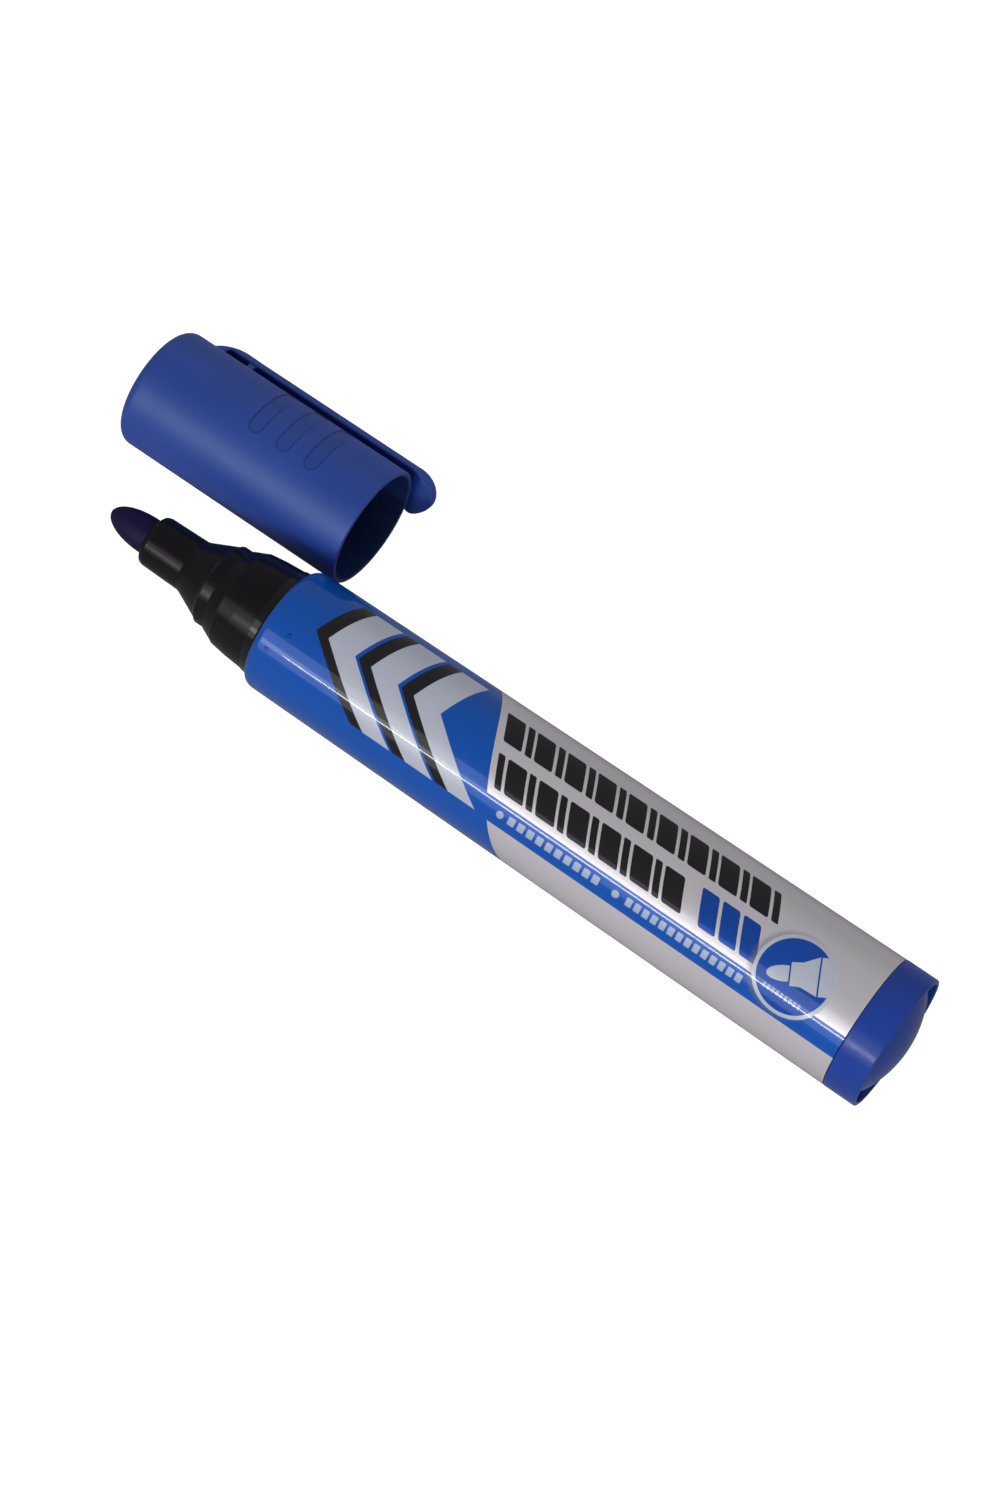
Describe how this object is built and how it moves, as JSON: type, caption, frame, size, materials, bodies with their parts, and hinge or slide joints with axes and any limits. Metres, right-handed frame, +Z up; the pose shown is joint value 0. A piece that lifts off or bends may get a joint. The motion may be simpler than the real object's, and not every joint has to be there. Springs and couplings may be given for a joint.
{
  "type": "marker pen",
  "caption": "Jumbo bullet-tip felt marker with its clip cap off, lying beside it: barrel in printed film, ink reservoir, nib holder, end plug.",
  "frame": {"origin": "on the table, under the middle of the box around the pen and the cap lying beside it", "axes": "+X along the pen from the nib to the end plug, +Y towards the side where the cap lies, +Z up"},
  "size_m": [0.142, 0.0428, 0.02],
  "materials": {
    "barrel_plastic": "smooth black polypropylene, hidden by the film except for a thin edge at the front",
    "label_film": "glossy printed shrink film, blue and pearly silver",
    "holder_plastic": "semi-gloss black moulded plastic",
    "nib_felt": "dense fibre nib, wet with dark blue-violet ink",
    "reservoir_fibre": "bonded fibre rod soaked in ink",
    "wrap_film": "thin clear wrapping film",
    "plug_plastic": "satin dark blue moulded plastic",
    "cap_plastic": "matte blue moulded polypropylene",
    "seal_plastic": "smooth blue polyethylene"
  },
  "bodies": {
    "pen": {"barrel": "barrel_plastic", "label_sleeve": "label_film", "nib_holder": "holder_plastic", "nib": "nib_felt", "ink_reservoir": "reservoir_fibre", "reservoir_wrap": "wrap_film", "end_plug": "plug_plastic"},
    "cap_core": {"cap_seal": "seal_plastic"},
    "cap": {"cap_shell": "cap_plastic"},
    "clip": {"cap_clip": "cap_plastic"}
  },
  "joints": [
    {"name": "cap_carry", "type": "slide", "parent": "pen", "child": "cap_core", "axis": [-0.9733, -0.2294, 0.0093], "range_m": [0, 0.08631]},
    {"name": "cap_twist", "type": "hinge", "parent": "cap_core", "child": "cap", "pos_m": [-0.03238, 0.00844, 0.0092], "axis": [1, 0, 0], "range_deg": [-90, 150]},
    {"name": "clip_flex", "type": "hinge", "parent": "cap", "child": "clip", "pos_m": [-0.06078, 0.01911, 0.00338], "axis": [0, 0.4787, 0.878], "range_deg": [0, 5], "stiffness_Nm_per_rad": 0.5}
  ]
}
